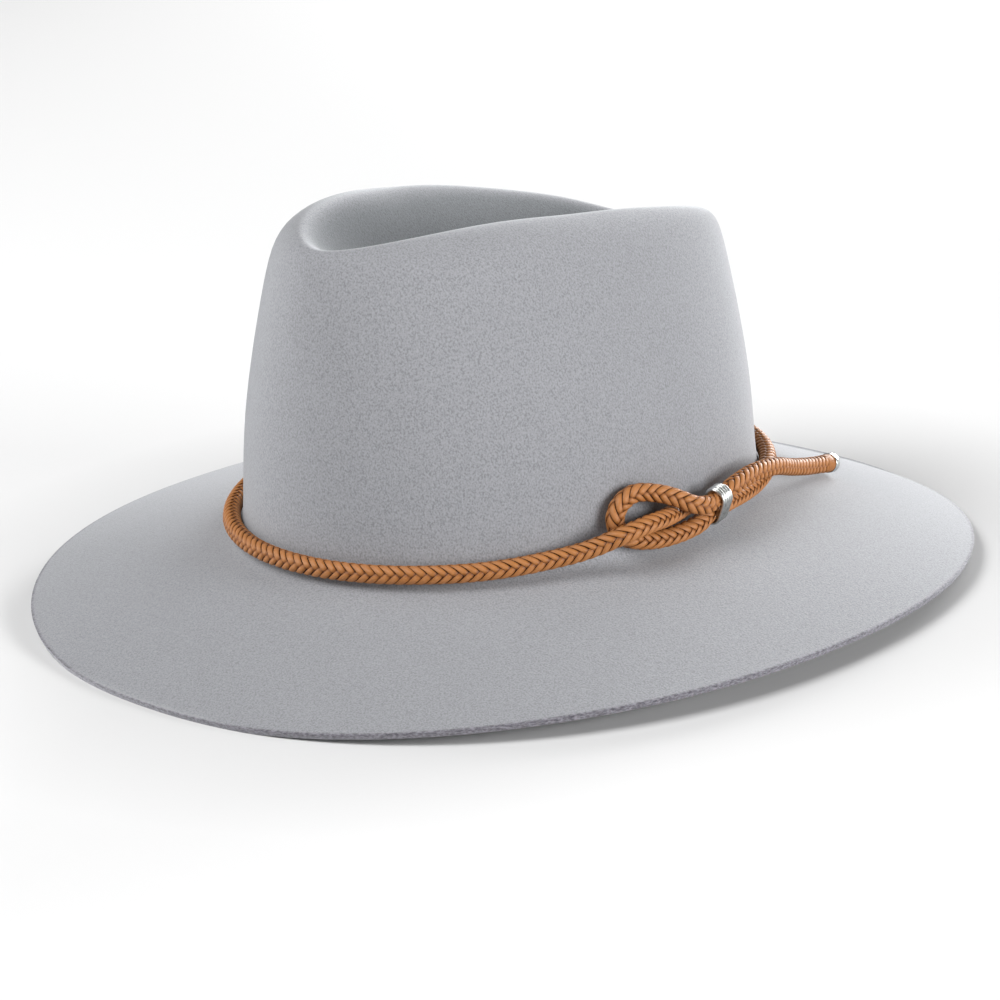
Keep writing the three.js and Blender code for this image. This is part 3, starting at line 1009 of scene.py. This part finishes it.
@dataclass
class TailEnd:
    """The tail's smooth leather sleeve and its silver cap."""

    route: CordRoute
    sleeve_length: float = 8.6
    sleeve_radius: float = 3.42
    sleeve_round: float = 0.55
    sleeve_tone: float = 0.78  # the sleeve's even tone, as a place on the leather's ramp of painted light and shade
    cap_start: float = -1.2
    cap_length: float = 3.4
    cap_radius: float = 3.75
    cap_round: float = 0.28
    lip: float = 0.3
    mouth_depth: float = 0.6
    dome_insets: tuple[float, float] = (0.9, 1.2)
    dome_height: float = 0.35
    sides: int = 48

    def build(self) -> list[bpy.types.Object]:
        """Returns the dressed sleeve and cap."""
        return [self._sleeve(), self._cap()]

    def _turned(self, along: float) -> tuple[Vector, tuple]:
        """Returns a place on the cord and the turn that stands a primitive's axis along it."""
        index = int(along / self.route.step)
        heading = Vector(self.route.tangent[index])
        return Vector(self.route.line[index]) * MM, tuple(heading.to_track_quat("Z", "Y").to_euler())

    def _rod(self, name: str, start: float, length: float, radius: float) -> bpy.types.Object:
        """Adds a cylinder along the cord.

        Args:
            name: The piece's name.
            start: Where it starts, along the cord.
            length: How long it is.
            radius: Its radius.

        Returns:
            The new object.
        """
        deselect_all()
        where, turn = self._turned(max(start + length / 2, 0))
        bpy.ops.mesh.primitive_cylinder_add(vertices=self.sides, radius=radius * MM,
                                            depth=length * MM, location=where, rotation=turn)
        piece = bpy.context.object
        piece.name = piece.data.name = name
        bpy.ops.object.transform_apply(location=True, rotation=True, scale=True)
        return piece

    def _sleeve(self) -> bpy.types.Object:
        """Returns the leather sleeve, its far end turned in over the braid."""
        piece = self._rod("tail_sleeve", 0.0, self.sleeve_length, self.sleeve_radius)
        add_modifier(piece, "BEVEL", width=self.sleeve_round * MM, segments=3,
                     angle_limit=math.radians(50))
        piece.data.shade_smooth()
        # The sleeve takes one even colour from the leather's ramp of painted light and shade.
        store(piece.data, "depth", np.full(len(piece.data.vertices), self.sleeve_tone))
        piece.data.materials.append(LeatherFinish(name="sleeve_leather").material())
        join_body(piece)
        return piece

    def _select_end(self, piece: bpy.types.Object, mouth: bool) -> None:
        """Selects the flat face at the cap's mouth, or else the one at its bottom, and no other."""
        form = bmesh.from_edit_mesh(piece.data)
        ends = [face for face in form.faces if len(face.verts) > 4]
        ends.sort(key=lambda face: face.calc_center_median().y)
        chosen = ends[0] if mouth else ends[-1]
        for face in form.faces:
            face.select_set(face is chosen)
        bmesh.update_edit_mesh(piece.data)

    def _push_out(self, height: float) -> None:
        """Extrudes the selected face along its normal, outwards where the height is positive."""
        bpy.ops.mesh.extrude_region_shrink_fatten(TRANSFORM_OT_shrink_fatten={"value": height * MM})

    def _cap(self) -> bpy.types.Object:
        """Returns the cap: a cup with a rolled rim and a slightly domed bottom."""
        piece = self._rod("tail_cap", self.cap_start, self.cap_length, self.cap_radius)
        bpy.ops.object.mode_set(mode="EDIT")
        self._select_end(piece, mouth=True)
        bpy.ops.mesh.inset(thickness=self.lip * MM)
        self._push_out(-self.mouth_depth)
        self._select_end(piece, mouth=False)
        outer, inner = self.dome_insets
        bpy.ops.mesh.inset(thickness=outer * MM)
        self._push_out(self.dome_height)
        bpy.ops.mesh.inset(thickness=inner * MM)
        bpy.ops.object.mode_set(mode="OBJECT")
        add_modifier(piece, "BEVEL", width=self.cap_round * MM, segments=3,
                     angle_limit=math.radians(28))
        piece.data.shade_smooth()
        piece.data.materials.append(SilverFinish("silver_cap", roughness=0.1).material())
        join_body(piece, "tip_cap")
        return piece


@dataclass(frozen=True)
class Softbox:
    """A large soft light, placed by its direction from the hat."""

    name: str
    azimuth: float
    elevation: float
    distance: float
    width: float
    power: float

    def build(self, aim: Vector) -> bpy.types.Object:
        """Returns the light, turned towards its aim."""
        data = bpy.data.lights.new(self.name, "AREA")
        data.shape = "SQUARE"
        data.size = self.width
        data.energy = self.power
        light = bpy.data.objects.new(self.name, data)
        bpy.context.scene.collection.objects.link(light)
        away = direction(self.azimuth, self.elevation)
        light.location = aim + away * self.distance
        light.rotation_euler = away.to_track_quat("Z", "Y").to_euler()
        return light


def direction(azimuth: float, elevation: float) -> Vector:
    """Returns the way from the hat to a viewer, by angles in degrees."""
    a, e = math.radians(azimuth), math.radians(elevation)
    return Vector((math.sin(a) * math.cos(e), -math.cos(a) * math.cos(e), math.sin(e)))


@dataclass
class Studio:
    """The floor, the lights and the camera."""

    azimuth: float = 44.657
    elevation: float = 18.829
    roll: float = -2.646
    distance: float = 1.2
    aim: Vector = Vector((0.0, 0.0, 0.0043))
    lens: float = 116.12
    sensor: float = 36.0
    shift: tuple[float, float] = (-0.0076, 0.0565)
    floor_size: float = 30.0
    sky: float = 0.1
    boxes: tuple[Softbox, ...] = (
        Softbox("back_softbox", azimuth=194, elevation=9, distance=2.4, width=1.3, power=80),
        Softbox("right_softbox", azimuth=102, elevation=9, distance=2.4, width=1.3, power=82),
        Softbox("left_softbox", azimuth=300, elevation=9, distance=2.4, width=1.3, power=26),
        Softbox("fill_softbox", azimuth=343, elevation=48, distance=2.4, width=1.3, power=54),
    )

    def build(self) -> None:
        """Sets up the whole studio."""
        self._camera()
        self._floor()
        self._sky()
        for box in self.boxes:
            box.build(self.aim)

    def _camera(self) -> None:
        """Adds the camera at the photograph's angle."""
        data = bpy.data.cameras.new("studio_camera")
        data.lens = self.lens
        data.sensor_width = self.sensor
        data.sensor_fit = "HORIZONTAL"
        data.shift_x, data.shift_y = self.shift
        data.clip_end = 100.0
        camera = bpy.data.objects.new("studio_camera", data)
        bpy.context.scene.collection.objects.link(camera)
        back = direction(self.azimuth, self.elevation)
        camera.location = self.aim + back * self.distance
        turn = back.to_track_quat("Z", "Y").to_matrix() @ Matrix.Rotation(math.radians(self.roll), 3, "Z")
        camera.rotation_euler = turn.to_euler()
        bpy.context.scene.camera = camera

    def _floor(self) -> None:
        """Adds the pale floor."""
        deselect_all()
        bpy.ops.mesh.primitive_plane_add(size=self.floor_size)
        floor = bpy.context.object
        floor.name = floor.data.name = "studio_floor"
        floor.data.materials.append(FloorFinish().material())

    def _sky(self) -> None:
        """Surrounds the hat with faint even light, and leaves whites as plain as the floor's."""
        world = bpy.data.worlds.new("studio_white")
        world.use_nodes = True
        world.node_tree.nodes["Background"].inputs["Color"].default_value = (1.0, 1.0, 1.0, 1.0)
        world.node_tree.nodes["Background"].inputs["Strength"].default_value = self.sky
        bpy.context.scene.world = world
        bpy.context.scene.view_settings.view_transform = "Standard"


def main() -> None:
    """Builds the studio and the hat, and reports each piece."""
    logging.basicConfig(level=logging.INFO, format="%(name)s: %(message)s")
    deselect_all()
    Studio().build()
    FeltBody().build()
    route = CordRoute()
    LOG.info("the cord is %.0f mm long", route.length)
    BraidedCord(route).build()
    WireWrap(route).build()
    TailEnd(route).build()


if __name__ == "__main__":
    main()
